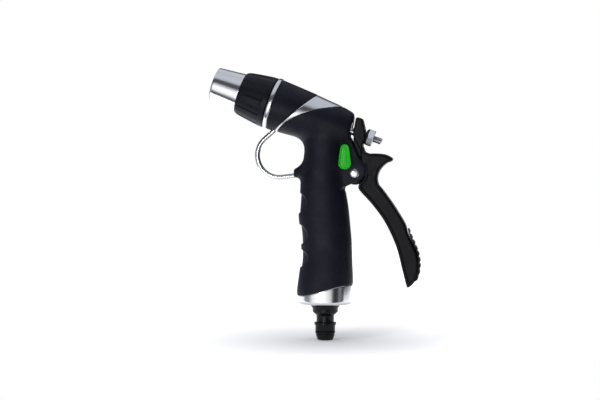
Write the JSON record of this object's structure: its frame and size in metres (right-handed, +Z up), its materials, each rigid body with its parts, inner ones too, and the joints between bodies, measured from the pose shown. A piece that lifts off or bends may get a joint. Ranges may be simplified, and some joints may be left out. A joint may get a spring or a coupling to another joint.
{
  "type": "hose spray nozzle",
  "caption": "Pistol-grip hose spray nozzle with a rear squeeze lever, screw-adjusted spray tip, side lock, wire finger guard and a quick-connect hose inlet.",
  "frame": {"origin": "on the inlet's axis, at the shoulder under the locking collar where a hose connector's socket seats", "axes": "+Z up along the inlet and handle, +X forward the way it sprays, +Y to the nozzle's left side"},
  "size_m": [0.1677, 0.042, 0.2147],
  "materials": {
    "casting": "satin die-cast aluminium",
    "soft_cover": "matte soft-touch rubber",
    "bright_trim": "polished",
    "guard_wire": "bright plated steel wire",
    "tip_metal": "turned and brushed",
    "brass": "machined",
    "steel": "machined stainless",
    "spring_steel": "drawn stainless wire",
    "lever_paint": "satin black coating",
    "pad_rubber": "ribbed, matte",
    "lock_green": "glossy moulded",
    "black_plastic": "glossy moulded",
    "washer_plastic": "moulded acetal",
    "strainer_plastic": "moulded",
    "seal_rubber": "smooth nitrile"
  },
  "bodies": {
    "body": {"body_casting": "casting", "head_cover": "soft_cover", "grip_cover": "soft_cover", "trim_ring": "bright_trim", "finger_guard": "guard_wire", "front_spigot": "brass", "spigot_seal": "seal_rubber", "gland_nut": "brass", "gland_seal": "seal_rubber", "pivot_pin": "steel", "pin_clip": "spring_steel", "hose_connector": "black_plastic", "nose_o_ring": "seal_rubber", "inlet_washer": "seal_rubber", "inlet_strainer": "strainer_plastic"},
    "lever": {"lever": "lever_paint", "lever_pad": "pad_rubber"},
    "stem": {"valve_stem": "steel", "valve_washer": "seal_rubber", "valve_nut": "brass", "return_spring": "spring_steel"},
    "washer": {"thrust_washer": "washer_plastic"},
    "nut": {"flow_nut": "bright_trim"},
    "tip": {"nozzle_tip": "tip_metal", "tip_seal": "seal_rubber", "orifice_plate": "brass"},
    "collar": {"collar_nut": "brass", "collar_grip": "soft_cover"},
    "lock": {"lock_shaft": "steel", "lock_knob_left": "lock_green", "lock_knob_right": "lock_green"}
  },
  "joints": [
    {"name": "lever_pivot", "type": "hinge", "parent": "body", "child": "lever", "pos_m": [-0.0239, 0, 0.12], "axis": [0, -1, 0], "range_deg": [0, 16], "stiffness_Nm_per_rad": 2, "springref_deg": -14.32},
    {"name": "stem_slide", "type": "slide", "parent": "body", "child": "stem", "axis": [-0.9438, 0, -0.3305], "range_m": [0, 0.0088], "deforming": ["return_spring"]},
    {"name": "washer_slide", "type": "slide", "parent": "stem", "child": "washer", "axis": [-0.9438, 0, -0.3305], "range_m": [0, 0.0015]},
    {"name": "flow_nut_turn", "type": "hinge", "parent": "washer", "child": "nut", "pos_m": [-0.03586, 0, 0.14724], "axis": [-0.9438, 0, -0.3305], "range_deg": [0, 540]},
    {"name": "tip_slide", "type": "slide", "parent": "body", "child": "tip", "axis": [0.9438, 0, 0.3305], "range_m": [0, 0.0025]},
    {"name": "collar_turn", "type": "hinge", "parent": "tip", "child": "collar", "pos_m": [0.05474, 0, 0.17897], "axis": [0.9438, 0, 0.3305], "range_deg": [0, 360]},
    {"name": "lock_turn", "type": "hinge", "parent": "body", "child": "lock", "pos_m": [-0.0165, 0, 0.1278], "axis": [0, -1, 0], "range_deg": [0, 90]}
  ],
  "couplings": [
    {"joint": "stem_slide", "follows": "lever_pivot", "m_per_rad": 0.03098},
    {"joint": "flow_nut_turn", "follows": "washer_slide", "rad_per_m": 6283},
    {"joint": "collar_turn", "follows": "tip_slide", "rad_per_m": 2513}
  ]
}
